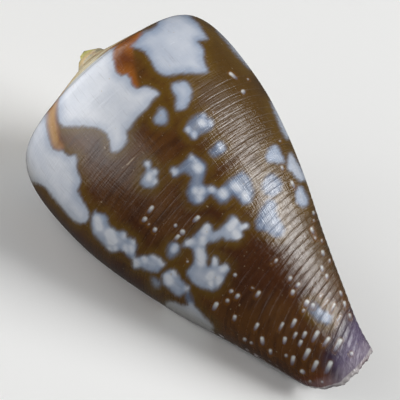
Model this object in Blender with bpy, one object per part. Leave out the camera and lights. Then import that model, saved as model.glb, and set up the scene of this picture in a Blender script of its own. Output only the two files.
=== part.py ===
# Cone shell, empty, lying aperture down on its outer lip, belly and siphonal end.
# The wall is one coil. Every whorl is the same section, scaled by its age and turned about the axis.
import math

import bmesh
import bpy
from mathutils import Vector

MM = 0.001

# Coil: age is counted in turns back from the outer lip, where the section has its full size.
GROWTH_RATE = 0.182
EARLY_GROWTH = 0.0118
TURNS = 8
STEPS_PER_TURN = 40

# Whorl section at the lip, as (distance down the axis, distance from the axis).
SHOULDER_EDGE = (4.76 * MM, 12.87 * MM)
SHOULDER_BULGE = (6.02 * MM, 14.71 * MM)
BODY_SIDE = (
    (11.8 * MM, 14.70 * MM),
    (17.4 * MM, 14.32 * MM),
    (22.2 * MM, 13.31 * MM),
    (29.3 * MM, 11.23 * MM),
    (36.4 * MM, 8.56 * MM),
    (43.5 * MM, 6.06 * MM),
    (50.0 * MM, 4.02 * MM),
    (58.0 * MM, 3.10 * MM),
    (75.0 * MM, 2.00 * MM),
    (120.0 * MM, 1.20 * MM),
)
SUTURE_ON_SHOULDER = 0.28
RAMP_HOLLOW = 0.1 * MM

# Raised first whorls in two tiers: height, radius where it starts to fall, radius where it ends.
APEX_TIERS = (
    (0.80 * MM, 0.45 * MM, 1.1 * MM),
    (0.65 * MM, 1.4 * MM, 2.3 * MM),
)
APEX_BLUNTING = 0.5 * MM

# Siphonal end, as (age, how far it stops short of the full length).
BODY_LENGTH = 49.9 * MM
END_SHORTFALL = (
    (0.00, 3.9 * MM),
    (0.08, 1.6 * MM),
    (0.18, 0.3 * MM),
    (0.28, 0.35 * MM),
    (0.39, 1.0 * MM),
    (0.47, 1.7 * MM),
    (0.61, 2.3 * MM),
    (0.83, 2.6 * MM),
    (1.00, 3.0 * MM),
)

# Wall, living space and aperture.
WALL = 0.85 * MM
LIP_WALL = 0.6 * MM
LIP_THINNING_AGE = 0.12
CALLUS = 0.12 * MM
CAVITY_AGE = 1.8
CAVITY_MOUTH_AGE = -0.03
CAVITY_ON_SHOULDER = 0.48
COLUMELLA_NARROWS_AT = 36.0 * MM
COLUMELLA_NARROW_LENGTH = 10.0 * MM
COLUMELLA_NARROWING = 0.45
COLUMELLA_NARROWS_AGE = 0.2
CANAL_CLOSES_AGE = (0.60, 0.95)
CANAL_CLOSED_SHORTFALL = 8.0 * MM
CANAL_OVERSHOOT = 2.0 * MM
END_CENTRE_AGE = 0.5

# Resting pose: angle of the lip from the top of the back, and how far the siphonal end dips.
LIP_ANGLE = math.radians(140.5)
REST_DIP = math.radians(13.4)

# Mesh density along the section.
RAMP_SEGMENTS = 2
SHOULDER_SEGMENTS = 2
SIDE_SEGMENTS = 15
CAVITY_SIDE_SEGMENTS = 12
SIDE_SEGMENTS_PER_SHOULDER_SEGMENT = 4

BROWN = (0.06, 0.022, 0.009, 1.0)
ROUGHNESS = 0.35
SHARP_EDGE_ANGLE = math.radians(40.0)


def clear_scene():
    for item in list(bpy.data.objects):
        bpy.data.objects.remove(item, do_unlink=True)


def size_at(age):
    """Size of the section at this age, relative to the lip."""
    return math.exp(-(GROWTH_RATE * age + EARLY_GROWTH * age * age))


def smooth_step(value):
    value = min(max(value, 0.0), 1.0)
    return value * value * (3.0 - 2.0 * value)


def interpolate(table, position):
    """Straight interpolation in a short table of (position, value)."""
    if position <= table[0][0]:
        return table[0][1]
    for (start, low), (stop, high) in zip(table, table[1:]):
        if position <= stop:
            return low + (high - low) * (position - start) / (stop - start)
    return table[-1][1]


def shoulder_point(part):
    """Rounded shoulder: 0 at the ramp's edge, 1 where the body side starts."""
    along = []
    for edge, bulge, side in zip(SHOULDER_EDGE, SHOULDER_BULGE, BODY_SIDE[0]):
        along.append((1 - part) ** 2 * edge + 2 * part * (1 - part) * bulge + part ** 2 * side)
    return tuple(along)


def side_slopes():
    """Slope of the body side at each station, tangent to the shoulder above."""
    rise = BODY_SIDE[0][1] - SHOULDER_BULGE[1]
    run = BODY_SIDE[0][0] - SHOULDER_BULGE[0]
    slopes = [rise / run]
    for before, after in zip(BODY_SIDE, BODY_SIDE[2:]):
        slopes.append((after[1] - before[1]) / (after[0] - before[0]))
    slopes.append((BODY_SIDE[-1][1] - BODY_SIDE[-2][1]) / (BODY_SIDE[-1][0] - BODY_SIDE[-2][0]))
    return slopes


SIDE_SLOPES = side_slopes()


def side_radius(x):
    """Radius of the full-size section at a distance down the axis, by cubic pieces."""
    x = min(max(x, BODY_SIDE[0][0]), BODY_SIDE[-1][0])
    piece = 0
    while x > BODY_SIDE[piece + 1][0]:
        piece += 1
    (x0, r0), (x1, r1) = BODY_SIDE[piece], BODY_SIDE[piece + 1]
    span = x1 - x0
    t = (x - x0) / span
    return (
        (2 * t ** 3 - 3 * t ** 2 + 1) * r0
        + (t ** 3 - 2 * t ** 2 + t) * span * SIDE_SLOPES[piece]
        + (3 * t ** 2 - 2 * t ** 3) * r1
        + (t ** 3 - t ** 2) * span * SIDE_SLOPES[piece + 1]
    )


def scaled(point, size):
    return (point[0] * size, point[1] * size)


def suture_point(age):
    """Where the next whorl's ramp joins the shoulder of this age."""
    return scaled(shoulder_point(SUTURE_ON_SHOULDER), size_at(age))


def ramp_section(age):
    """Spire side of a whorl, from its inner suture over the ramp to its outer suture."""
    size = size_at(age)
    inner = suture_point(age + 1)
    edge = scaled(SHOULDER_EDGE, size)
    points = []
    for i in range(RAMP_SEGMENTS):
        part = i / RAMP_SEGMENTS
        hollow = RAMP_HOLLOW * size * math.sin(math.pi * part)
        x = inner[0] + (edge[0] - inner[0]) * part + hollow
        points.append((x, inner[1] + (edge[1] - inner[1]) * part))
    for i in range(SHOULDER_SEGMENTS + 1):
        points.append(scaled(shoulder_point(SUTURE_ON_SHOULDER * i / SHOULDER_SEGMENTS), size))
    return points


def end_at(age):
    return BODY_LENGTH - interpolate(END_SHORTFALL, age)


def side_section(age, segments, start_part, end_x):
    """Body side of a whorl, from a place on its shoulder down to end_x."""
    size = size_at(age)
    shoulder_count = segments // SIDE_SEGMENTS_PER_SHOULDER_SEGMENT
    points = []
    for i in range(shoulder_count):
        part = start_part + (1 - start_part) * i / shoulder_count
        points.append(scaled(shoulder_point(part), size))
    count = segments - shoulder_count
    start_x = BODY_SIDE[0][0] * size
    for i in range(count + 1):
        x = start_x + (end_x - start_x) * i / count
        points.append((x, size * side_radius(x / size)))
    return points


def offset_section(points, distance):
    """Section moved square to itself, outwards for a positive distance."""
    moved = []
    last = len(points) - 1
    for i, (x, r) in enumerate(points):
        before = points[max(i - 1, 0)]
        after = points[min(i + 1, last)]
        run = after[0] - before[0]
        rise = after[1] - before[1]
        length = math.hypot(run, rise)
        moved.append((x - distance * rise / length, r + distance * run / length))
    return moved


def place(point, age):
    """Section point at its place on the coil, with the axis along X and the back up."""
    x, r = point
    angle = LIP_ANGLE - math.tau * age
    for height, falls_at, ends_at in APEX_TIERS:
        x -= height * (1 - smooth_step((r - falls_at) / (ends_at - falls_at)))
    return Vector((x, -r * math.sin(angle), r * math.cos(angle)))


def new_object(name, mesh_builder):
    mesh = bpy.data.meshes.new(name)
    bm = bmesh.new()
    mesh_builder(bm)
    bmesh.ops.recalc_face_normals(bm, faces=bm.faces)
    bm.to_mesh(mesh)
    bm.free()
    item = bpy.data.objects.new(name, mesh)
    bpy.context.collection.objects.link(item)
    return item


def build_solid(bm):
    """Closed outside of the shell, solid inside, with a step face at the lip."""
    steps = TURNS * STEPS_PER_TURN
    ages = [(steps - i) / STEPS_PER_TURN for i in range(steps + 1)]
    apex = bm.verts.new(place((APEX_BLUNTING, 0.0), TURNS))

    # Spiral strip of ramps, each sharing its inner edge with the shoulder one turn before.
    strip = []
    for i, age in enumerate(ages):
        section = ramp_section(age)
        row = [strip[i - STEPS_PER_TURN][-1] if i >= STEPS_PER_TURN else apex]
        for point in section[1:]:
            row.append(bm.verts.new(place(point, age)))
        strip.append(row)
    for row, following in zip(strip, strip[1:]):
        for j in range(len(row) - 1):
            corners = [row[j], row[j + 1], following[j + 1], following[j]]
            unique = list(dict.fromkeys(corners))
            bm.faces.new(unique)
    bm.faces.new(strip[0])

    # Body whorl below the last turn of the strip.
    sides = []
    for i in range(steps - STEPS_PER_TURN, steps + 1):
        age = ages[i]
        section = side_section(age, SIDE_SEGMENTS, SUTURE_ON_SHOULDER, end_at(age))
        row = [strip[i][-1]]
        for point in section[1:]:
            row.append(bm.verts.new(place(point, age)))
        sides.append(row)
    for row, following in zip(sides, sides[1:]):
        for j in range(len(row) - 1):
            bm.faces.new([row[j], row[j + 1], following[j + 1], following[j]])

    # Step face at the lip, and the closed siphonal end.
    bm.faces.new(strip[-1] + sides[-1][1:] + sides[0][:0:-1])
    centre = bm.verts.new(Vector((end_at(END_CENTRE_AGE), 0.0, 0.0)))
    rim = [row[-1] for row in sides]
    for a, b in zip(rim, rim[1:-1]):
        bm.faces.new([centre, a, b])
    bm.faces.new([centre, rim[-2], rim[0]])
    bm.faces.new([rim[0], rim[-2], rim[-1]])


def wall_at(age):
    return LIP_WALL + (WALL - LIP_WALL) * smooth_step(age / LIP_THINNING_AGE)


def cavity_section(age):
    """Living space between this age's wall and the whorl one turn before."""
    open_end = BODY_LENGTH + CANAL_OVERSHOOT
    first, last = CANAL_CLOSES_AGE
    closing = smooth_step((age - first) / (last - first))
    end_x = open_end - (CANAL_CLOSED_SHORTFALL + CANAL_OVERSHOOT) * closing
    size = size_at(age)
    outer = [ramp_section(age)[RAMP_SEGMENTS - 1]]
    outer += side_section(age, CAVITY_SIDE_SEGMENTS, 0.0, end_x)
    outer = offset_section(outer, -wall_at(age))
    inner = side_section(age + 1, CAVITY_SIDE_SEGMENTS, CAVITY_ON_SHOULDER, end_x)
    inner = offset_section(inner, CALLUS)
    narrowed = []
    for x, r in inner:
        narrowing = smooth_step((x - COLUMELLA_NARROWS_AT) / COLUMELLA_NARROW_LENGTH)
        narrowing *= COLUMELLA_NARROWING * smooth_step((age - CAVITY_MOUTH_AGE) / COLUMELLA_NARROWS_AGE)
        narrowed.append((x, r * (1 - narrowing)))
    return outer + narrowed[::-1]


def build_cavity(bm):
    count = round((CAVITY_AGE - CAVITY_MOUTH_AGE) * STEPS_PER_TURN)
    rings = []
    for i in range(count + 1):
        age = CAVITY_MOUTH_AGE + (CAVITY_AGE - CAVITY_MOUTH_AGE) * i / count
        ring = []
        for point in cavity_section(age):
            ring.append(bm.verts.new(place(point, age)))
        rings.append(ring)
    for ring, following in zip(rings, rings[1:]):
        for j in range(len(ring)):
            k = (j + 1) % len(ring)
            bm.faces.new([ring[j], ring[k], following[k], following[j]])
    bm.faces.new(rings[0])
    bm.faces.new(rings[-1])


def shell_material():
    material = bpy.data.materials.new("brown_shell")
    material.use_nodes = True
    shader = material.node_tree.nodes["Principled BSDF"]
    shader.inputs["Base Color"].default_value = BROWN
    shader.inputs["Roughness"].default_value = ROUGHNESS
    shader.inputs["Metallic"].default_value = 0.0
    return material


def rest_on_floor(item):
    """Tip the siphonal end down, then stand the lowest point on the floor, centred in plan."""
    item.rotation_euler = (0.0, REST_DIP, 0.0)
    turn = item.rotation_euler.to_matrix()
    turned = [turn @ vertex.co for vertex in item.data.vertices]
    low = [min(point[i] for point in turned) for i in range(3)]
    high = [max(point[i] for point in turned) for i in range(3)]
    item.location = (-(low[0] + high[0]) / 2, -(low[1] + high[1]) / 2, -low[2])


def build():
    clear_scene()
    shell = new_object("shell", build_solid)
    rest_on_floor(shell)
    cavity = new_object("cavity_cutter", build_cavity)
    cavity.rotation_euler = shell.rotation_euler
    cavity.location = shell.location
    cavity.hide_render = True
    cavity.display_type = "WIRE"
    hollow = shell.modifiers.new("hollow", "BOOLEAN")
    hollow.operation = "DIFFERENCE"
    hollow.solver = "EXACT"
    hollow.object = cavity
    shell.data.materials.append(shell_material())
    shell.data.shade_smooth()
    shell.data.set_sharp_from_angle(angle=SHARP_EDGE_ANGLE)


build()
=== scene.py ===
# Looks of the cone shell: one closed mesh with a sculptured, marked and glossy outside.
import math

import bmesh
import bpy
import numpy as np
from mathutils import Matrix, Vector


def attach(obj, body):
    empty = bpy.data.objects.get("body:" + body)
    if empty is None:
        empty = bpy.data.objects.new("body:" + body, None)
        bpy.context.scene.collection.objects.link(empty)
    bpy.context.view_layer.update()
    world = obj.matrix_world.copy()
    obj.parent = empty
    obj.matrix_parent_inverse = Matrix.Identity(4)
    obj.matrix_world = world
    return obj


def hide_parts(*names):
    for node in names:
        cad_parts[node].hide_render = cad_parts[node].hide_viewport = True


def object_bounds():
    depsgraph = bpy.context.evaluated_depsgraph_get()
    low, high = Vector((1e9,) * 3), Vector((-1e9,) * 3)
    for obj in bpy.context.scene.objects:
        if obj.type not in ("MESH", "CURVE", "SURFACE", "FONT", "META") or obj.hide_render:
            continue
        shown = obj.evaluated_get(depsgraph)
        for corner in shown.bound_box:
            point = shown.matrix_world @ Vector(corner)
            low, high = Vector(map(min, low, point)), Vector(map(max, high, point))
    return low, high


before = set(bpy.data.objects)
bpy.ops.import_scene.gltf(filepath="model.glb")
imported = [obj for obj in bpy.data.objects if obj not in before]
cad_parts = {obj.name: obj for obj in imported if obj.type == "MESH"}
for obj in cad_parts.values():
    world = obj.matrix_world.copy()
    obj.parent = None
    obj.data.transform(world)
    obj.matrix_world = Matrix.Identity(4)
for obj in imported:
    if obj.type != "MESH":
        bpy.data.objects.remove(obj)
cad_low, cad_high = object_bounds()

MM = 0.001
TURN = math.tau

# Coil, as in the frame. Ages count turns back from the outer lip, and lengths are in millimetres.
GROWTH_RATE = 0.182
EARLY_GROWTH = 0.0118
WHORLS = 9
SHOULDER_EDGE = (4.76, 12.87)
SHOULDER_BULGE = (6.02, 14.71)
BODY_SIDE = (
    (11.8, 14.70), (17.4, 14.32), (22.2, 13.31), (29.3, 11.23), (36.4, 8.56),
    (43.5, 6.06), (50.0, 4.02), (58.0, 3.10), (75.0, 2.00), (120.0, 1.20),
)
SUTURE_PART = 0.28
RAMP_HOLLOW = 0.1
APEX_TIERS = ((0.8, 0.45, 1.1), (0.65, 1.4, 2.3))
APEX_BLUNTING = 0.5
BODY_LENGTH = 49.9
END_AGES = (0.0, 0.08, 0.18, 0.28, 0.39, 0.47, 0.61, 0.83, 1.0, 2.0)
END_SHORTFALLS = (3.9, 1.6, 0.3, 0.35, 1.0, 1.7, 2.3, 2.6, 3.0, 5.5)
RIM_ROUNDING = 0.3
LIP_ANGLE = math.radians(140.5)
REST_DIP = math.radians(13.4)
AXIS = np.array([math.cos(REST_DIP), 0.0, -math.sin(REST_DIP)])
BACK = np.array([math.sin(REST_DIP), 0.0, math.cos(REST_DIP)])
LIP_SIDE = np.array([0.0, -1.0, 0.0])

# Chips of the siphonal end, in millimetres, with their waves to a turn, and where they fade.
END_CHIP = 0.035
END_CHIP_WAVES = (9, 17, 29)
END_CHIPS_FADE = (0.9, 1.0)
# Chips of the lip, in turns, with the phases that their waves run through, and where they fade.
LIP_CHIP = 0.0006
LIP_CHIP_PHASES = (23.0, 41.0, 67.0, 97.0, 151.0)
LIP_CHIPS_FADE = (0.0, 0.03)

# Wall, inside and rims.
WALL = 0.85
LIP_WALL = 0.5
LIP_THINNING_AGE = 0.12
COLUMELLA_NARROWS = (36.0, 46.0)
COLUMELLA_NARROWING = 0.45
COLUMELLA_NARROWS_AGE = 0.2
CANAL_CLOSES_AGES = (0.60, 0.95)
CANAL_CLOSED_LENGTH = 8.0
CANAL_GAP = 0.15
COLUMELLA_END_AGE = 1.5
COLUMELLA_DOME = 0.2
LIP_CORNER_ROWS = 16
RIM_CORNER_AGE = 0.06

# Mesh density. The half of the coil that the photograph shows has the finer columns.
SHOWN_AGE = 0.53
SHOWN_STEPS = 190
HIDDEN_STEPS = 68
RAMP_ROWS = 4
STRIP_SHOULDER_ROWS = 3
SHOULDER_ROWS = 38
SIDE_ROWS = 226
COARSE = 4
COARSE_FROM_WHORL = 2
INNER_ROW_STEP = 8
INNER_STRIP_ROWS = [3, 5]

# Relief of the outside. Waves have the size of their cells and their height.
THREADS_SLANT = 0.8
THREADS_SLANT_BETWEEN = (18.0, 36.0)
THREAD_ROUNDS = 12
CORD_PITCH = 0.95
CORD_FROM = 26.0
CORD_FULL_AT = 42.0
CORD_DEPTH = 0.035
CORD_UNEVENNESS = (4.0, 0.5)
SLOW_WAVE = (9.0, 0.05)
QUICK_WAVE = (3.5, 0.022)
GROWTH_WAVES = 90.0
GROWTH_WAVE_LENGTH = 12.0
GROWTH_WAVE_HEIGHT = 0.014

# Camera, at the photograph's viewing angle.
PHOTO_SIZE = 400
PHOTO_MIDDLE = PHOTO_SIZE / 2
MM_PER_PIXEL = 0.1136
APEX_PIXEL = (88.7, 56.9)
AXIS_ANGLE_IN_PHOTO = math.radians(49.97)
AXIS_TILT_TO_CAMERA = math.radians(15.6)
LIP_FROM_MERIDIAN = math.radians(95.0)
CAMERA_DISTANCE = 1600.0
SENSOR = 36.0
DEPTH_OF_SCALE = 5.2

# Markings, read from the photograph as pixels of its 400 by 400 frame.

SHOULDER_PATCH = (
    (50, 92), (58, 100), (56, 112), (58, 121), (62, 127), (73, 126.5), (85, 126), (97, 128), (104, 131),
    (108, 135), (110, 142), (110, 149), (113, 152.5), (119, 151), (125, 145), (127.5, 139), (126, 132),
    (129, 129), (133, 124), (137, 117), (143, 112), (148, 108), (150, 102), (154, 98), (159, 95), (157, 91),
    (152, 89), (146, 87), (141, 88), (136, 89), (132, 85), (131, 79), (127, 74), (121, 76), (116, 73),
    (114, 66), (112, 58), (113, 51), (117, 45), (112, 36), (88, 40), (64, 66),
)
TOP_PATCH = (
    (129, 47), (135, 43), (140, 37), (144, 31), (152, 29), (158, 24), (158, 10), (180, 4), (189, 14),
    (192, 18), (197, 22), (200, 26), (203, 31), (206, 36), (208.5, 39), (203, 40.5), (197, 41.5), (200, 44),
    (203, 48), (204, 54), (203, 60), (205, 65), (208, 70), (206, 73), (199, 73.5), (190, 73), (182, 74),
    (175, 75), (168, 76), (162, 75), (157, 71), (154, 66), (151, 61), (148, 56), (144, 52), (138, 49),
)
LEFT_PATCH = (
    (42, 104), (47, 113), (46.5, 120), (47, 127), (48.5, 134), (50, 141), (52, 148), (56, 151), (63, 151),
    (66, 155), (70, 157), (75, 155), (77, 158), (76, 163), (77, 169), (79, 175), (81, 181), (79, 186),
    (78.5, 191), (80, 196), (84, 202), (87, 208), (89, 214), (88, 220), (84, 223.5), (78, 223), (72, 219),
    (67, 214), (62, 207), (56, 200), (51, 194), (47, 189), (42, 185), (36, 183), (30, 182), (16, 176),
    (12, 150), (30, 115),
)
LIP_PATCH = (
    (95, 210), (98, 213), (104, 214), (108, 218), (108, 223), (112, 228), (118, 232), (123, 231),
    (126, 234), (127, 238), (132, 238), (136, 242), (136, 250), (136, 256), (133, 261), (128, 257),
    (124, 253), (120, 250), (115, 252), (109, 252), (106, 248), (101, 242), (96, 237), (92.5, 231),
    (91.5, 224), (92.5, 216),
)
LOWER_LIP_PATCH = (
    (133, 257), (138, 258), (142, 255.5), (148, 257), (152, 254.5), (157, 257), (162, 261), (165.5, 265),
    (162, 268), (158, 272), (152, 272.5), (146, 270), (140, 268), (135, 269.5), (132, 266),
)
SMALL_LIP_PATCH = ((152, 276.5), (156, 279), (160, 281.5), (161, 285), (157, 289), (153, 286), (151, 281))
LOWER_PATCH = (
    (162, 276), (165, 272), (170, 270), (175, 270.5), (177.5, 275), (181, 280), (186, 284.5), (189.5, 288),
    (188, 292), (184, 294), (180, 297), (175, 296), (170, 290), (165, 286), (162, 281),
)
LOWER_STREAK = ((186, 289), (190, 293), (192.5, 300), (195, 306), (190, 310), (186.5, 303), (185, 296))
EDGE_PATCH = (
    (168, 302), (174, 302), (180, 305), (186, 306), (191, 303), (195, 306), (199, 312), (205, 318),
    (210, 322.5), (213.5, 327), (211, 331), (206, 336), (190, 330), (175, 318), (163, 308),
)
UPPER_BLOB = (
    (171, 86), (174, 83), (180, 81.5), (185, 81), (189, 84.5), (192, 90), (191, 97), (189, 104), (185, 109),
    (179, 111), (175, 110), (175.5, 104), (176, 98), (173.5, 93),
)
SMALL_UPPER_BLOB = (
    (160, 108.5), (165, 109), (167, 115), (168, 122), (164, 125), (156, 125), (153.5, 120), (157, 114),
)
MIDDLE_BLOB = (
    (145, 161), (150, 161), (151, 166), (151, 170), (156, 168.5), (158.5, 172), (156, 178), (158, 182),
    (155, 186), (149, 188), (143, 187), (140.5, 183), (142, 178), (146, 172), (146.5, 168), (143.5, 165),
)
RIGHT_BLOB = (
    (184.5, 131), (187, 125), (191, 120), (194, 116.5), (200, 114), (206, 112.5), (207, 118), (213, 120.5),
    (214, 125), (210, 130), (204, 132.5), (199, 135), (196, 139.5), (191, 139), (189, 134),
)
BAND_BLOB = (
    (208, 152), (213, 148), (217, 142), (222, 141.5), (226, 147), (225, 152), (220, 155), (213, 157),
)
MIDDLE_PATCH = (
    (170, 170), (173, 167.5), (178, 168), (181, 165), (185, 161), (189, 156), (192, 153), (195, 157),
    (200, 159), (205, 163), (207.5, 168), (205, 174), (203, 180), (203.5, 185), (207, 187), (211, 185),
    (215, 187.5), (218, 190), (222, 187), (226, 184), (230, 180), (234, 177), (238, 173.5), (242, 171),
    (247, 174), (250, 179), (252, 185), (254, 191), (253, 198), (250, 203), (246, 204.5), (241, 203.5),
    (237, 198), (233, 195), (229, 199.5), (225, 203), (220, 203.5), (216, 200), (213, 195), (209, 195),
    (206, 199), (202, 203.5), (195, 205), (190, 203), (187, 197), (187, 190), (189, 184), (192, 179),
    (190, 175), (185, 172), (180, 174), (176, 177.5), (171.5, 176),
)
BAND_PATCH = (
    (262, 189), (263, 182), (267, 176), (272, 173), (278, 177), (282, 182), (282, 190), (278, 194),
    (272, 197), (266, 195),
)
LOWER_BAND_PATCH = (
    (268, 199), (274, 200), (277, 206), (276, 213), (280, 220), (285, 228), (284, 235), (278, 238),
    (271, 235), (265, 231), (258, 231), (255, 226), (257, 219), (260, 211), (264, 204),
)
SMALL_MIDDLE_PATCH = (
    (168, 246), (171, 242), (176, 242), (179.5, 247), (180, 251), (176.5, 254), (172, 258), (168.5, 258),
    (167, 252),
)
BROAD_PATCH = (
    (182, 248), (185, 241), (188, 238.5), (192, 238.5), (194, 235), (198, 231), (202, 227), (205, 223.5),
    (209, 223), (212, 227), (213, 232), (217, 231), (221, 228), (225, 224), (229, 219), (232, 215.5),
    (236, 217), (239, 222), (242, 224), (246, 222.5), (249, 225), (247, 229), (242, 231), (243, 236),
    (240, 240), (235, 240.5), (230, 239), (226, 240), (223, 236.5), (219, 239), (214, 242), (209, 242.5),
    (206, 246), (205, 251), (207.5, 257), (206, 263), (208, 267), (211.5, 265), (212, 259), (215, 256.5),
    (218, 259), (218, 265), (221, 266), (224, 263.5), (229, 265), (230, 270), (226, 275), (224, 281),
    (220, 286), (215, 290.5), (209, 290.5), (204, 288), (198, 286), (192, 282), (187.5, 277), (186, 272),
    (190, 268), (193.5, 263), (194, 256), (192.5, 249), (187, 246),
)
RIGHT_EDGE_PATCH = (
    (268, 150), (271, 147), (275, 144.5), (278, 146), (281, 152), (284.5, 159), (285, 163), (280, 163),
    (273, 162.5), (268, 162.5), (265.5, 157),
)
LOWER_RIGHT_EDGE_PATCH = (
    (290, 152.5), (293, 156), (297, 162), (302, 169), (307, 176), (306, 181), (300, 181.5), (296, 177.5),
    (292, 172), (288, 170), (287.5, 163), (288, 157),
)
THIRD_EDGE_PATCH = (
    (298, 185.5), (303, 187.5), (306, 193), (309, 202), (306, 207), (300, 206), (296, 202), (295.5, 193),
)
UPPER_EDGE_STRIP = (
    (216, 29), (220, 33.5), (227, 41.5), (233, 49.5), (238.5, 56), (243.5, 61.5), (250, 69), (258, 68),
    (248, 50), (230, 32), (219, 24),
)
EDGE_STRIP = (
    (270, 99), (273.5, 109), (277, 118), (280, 127), (283, 134), (287, 140), (292, 137), (290, 128),
    (287, 116), (278, 98),
)
BASE_PATCH = (
    (309, 304), (313, 302), (317, 304), (321, 309), (326, 313), (331, 314), (332, 320), (328, 326),
    (322, 322), (316, 320), (312, 314), (308, 309),
)
# Thickness of the milky layer, and the patches that share it.
WHITE_PATCHES = (
    (1.0, (SHOULDER_PATCH, LEFT_PATCH, EDGE_STRIP, UPPER_EDGE_STRIP, LOWER_RIGHT_EDGE_PATCH, EDGE_PATCH)),
    (0.7, (UPPER_BLOB, RIGHT_EDGE_PATCH, THIRD_EDGE_PATCH)),
    (0.65, (TOP_PATCH,)),
    (0.6, (LOWER_PATCH, BROAD_PATCH, LIP_PATCH)),
    (0.5, (LOWER_LIP_PATCH, SMALL_UPPER_BLOB, MIDDLE_BLOB)),
    (0.25, (MIDDLE_PATCH, LOWER_BAND_PATCH)),
    (0.1, (
        BAND_BLOB, RIGHT_BLOB, BAND_PATCH, SMALL_LIP_PATCH, LOWER_STREAK, SMALL_MIDDLE_PATCH, BASE_PATCH,
    )),
)
LEFT_TONGUE = (
    (60, 95), (50, 106), (46, 117), (47, 128), (50, 139), (53, 147), (58, 150), (63, 148), (60, 140),
    (57, 130), (55, 118), (57, 105),
)
UPPER_TONGUE = (
    (113, 50), (112, 58), (114, 68), (119, 75), (126, 73), (130, 78), (134, 88), (138, 86), (135, 75),
    (133, 60), (130, 48), (140, 40), (143, 32), (130, 35), (118, 43),
)
# Orange tongues, with how pale each is.
ORANGE_PATCHES = ((LEFT_TONGUE, 1.0), (UPPER_TONGUE, 0.0))

# Each spot is an ellipse: head, tail and half width. Heads are bright, tails bluish.
SINGLE_SPOTS = (
    (230.5, 73.5, 237, 79, 2.0), (243, 91.5, 244, 93, 2.4), (248, 79, 249, 80, 1.2),
    (280, 141, 280.5, 142, 1.3), (282, 167, 283, 170, 1.8), (292, 182, 294.5, 188, 1.9),
    (152, 207.5, 148, 213, 2.3), (145, 219, 143, 221, 2.6), (149, 224, 148, 226, 1.2),
    (155, 229.5, 154, 231.5, 2.5), (175.5, 225.5, 175, 227, 2.1), (182.5, 232, 182, 234, 3.0),
    (178, 236.5, 175, 240, 2.3), (198, 217.5, 193.5, 221.5, 2.5), (235, 275, 234.5, 276, 2.3),
    (187.5, 261.5, 187.3, 263, 1.5), (276.5, 260, 275, 263, 1.8), (271.2, 264, 271.3, 265, 0.9),
    (290.5, 278, 289.5, 280.5, 2.2), (298.5, 284, 296, 287, 2.2), (293, 291.5, 292, 294.5, 2.4),
    (252.2, 288, 252, 288.6, 1.5), (259, 292.5, 256, 297, 2.2), (231.5, 291, 230, 292, 2.3),
    (238, 295.5, 236, 298, 2.4), (227.5, 300.5, 227, 302, 2.3), (216.5, 304, 213.5, 309.5, 2.7),
    (235, 316.5, 234.2, 320.5, 2.2), (257.5, 324.5, 254.5, 330, 2.2), (244.5, 339.5, 245, 341, 2.2),
    (251, 343, 252, 344, 1.8), (262, 338.5, 262.8, 344.5, 2.4), (270.3, 350.5, 270.6, 354.5, 2.0),
    (282.8, 323.5, 279, 330.5, 1.9), (295, 320.5, 291.5, 327.5, 2.3), (296, 333.5, 293.3, 338.5, 2.0),
    (305.3, 333, 303, 338, 2.2), (301, 341.5, 299, 346, 2.2), (317.5, 332.5, 312.5, 341.5, 2.5),
    (328.5, 338.5, 323, 346, 2.2), (285, 338.5, 284, 343.5, 2.3), (308.5, 350.5, 304, 359, 2.7),
    (286, 355.5, 286.2, 357, 1.9), (293.3, 357.5, 292, 364.5, 2.4), (307, 302, 305.5, 305.5, 2.8),
    (313, 305, 313, 308, 2.4), (303.7, 310, 302.5, 312.5, 1.7), (302, 371.5, 304, 373, 2.5),
    (316.5, 362.5, 312.5, 371, 2.6), (330.5, 363, 326, 373, 2.7), (310, 381.5, 310.5, 382.5, 1.7),
    (322, 382, 323, 383, 1.6), (340.5, 340.5, 334.5, 351, 2.4), (351.5, 353.5, 351, 355, 2.0),
    (344, 302.5, 344.7, 308, 1.8), (349.5, 314.5, 350.5, 319, 1.5), (340, 292, 341.5, 296.5, 1.6),
    (334.5, 304.5, 331, 312.5, 1.6), (327.5, 300.5, 322.5, 308, 1.0), (320.5, 295.5, 320, 297, 1.5),
    (340, 316, 336, 323.5, 1.2), (313.5, 212, 314, 215.5, 1.5), (314, 220, 314.3, 222, 1.2),
    (311.8, 228.5, 314, 234, 1.9), (315.5, 237.5, 316, 239.5, 1.5), (322, 240, 322.3, 242.5, 1.4),
    (322.7, 251.5, 323.5, 256, 1.9), (329.5, 260, 329.8, 263, 1.5), (321.5, 267, 322.5, 271, 2.0),
    (326.5, 275.5, 327, 278.5, 1.9), (213, 112, 214, 113, 1.1),
)
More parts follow.
